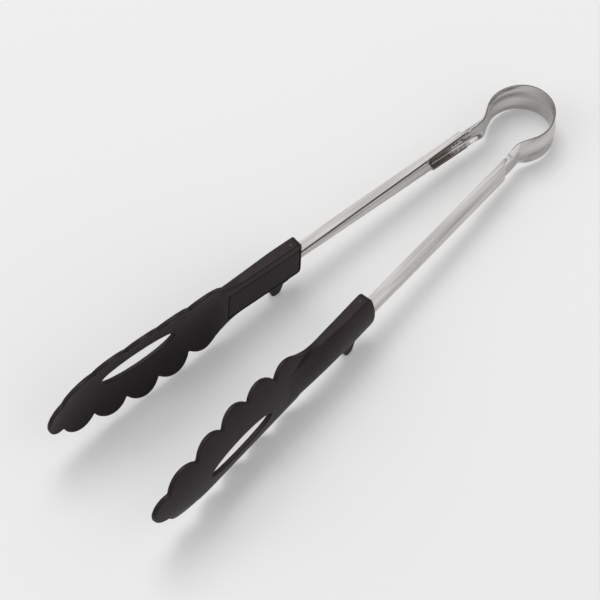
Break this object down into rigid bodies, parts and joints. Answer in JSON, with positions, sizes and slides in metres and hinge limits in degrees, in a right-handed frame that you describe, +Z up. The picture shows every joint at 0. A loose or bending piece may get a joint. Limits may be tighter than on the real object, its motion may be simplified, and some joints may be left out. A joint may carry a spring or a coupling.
{
  "type": "kitchen tongs",
  "caption": "Spring loaded kitchen tongs: folded steel arms joined by a round spring bow, with scalloped, slotted nylon scoop heads and small rest legs.",
  "frame": {"origin": "on the table, under the middle of the object's bounding box", "axes": "+Y along the tongs from the scoops' tips to the spring bow, +Z up from the table, +X from the left arm to the right arm"},
  "size_m": [0.0744, 0.2976, 0.0503],
  "materials": {
    "spring_steel": "polished strip",
    "arm_steel": "satin, brushed along the arm",
    "pin_steel": "drawn wire",
    "head_nylon": "moulded, semi-matt with a fine grain",
    "cover_nylon": "moulded, fine spark-eroded texture"
  },
  "bodies": {
    "bow": {"spring_bow": "spring_steel"},
    "left_arm": {"left_arm": "arm_steel", "left_head": "head_nylon", "left_head_cover": "cover_nylon", "left_head_pin": "pin_steel"},
    "right_arm": {"right_arm": "arm_steel", "right_head": "head_nylon", "right_head_cover": "cover_nylon", "right_head_pin": "pin_steel"}
  },
  "joints": [
    {"name": "left_arm_flex", "type": "hinge", "parent": "bow", "child": "left_arm", "pos_m": [-0.01158, 0.14004, 0.01003], "axis": [0, 0.0702, 0.9975], "range_deg": [-2, 6.4], "stiffness_Nm_per_rad": 6, "deforming": ["spring_bow"]},
    {"name": "right_arm_flex", "type": "hinge", "parent": "bow", "child": "right_arm", "pos_m": [0.01158, 0.14004, 0.01003], "axis": [0, 0.0702, 0.9975], "range_deg": [-6.4, 2], "stiffness_Nm_per_rad": 6, "deforming": ["spring_bow"]}
  ],
  "couplings": [
    {"joint": "right_arm_flex", "follows": "left_arm_flex", "ratio": -1}
  ]
}
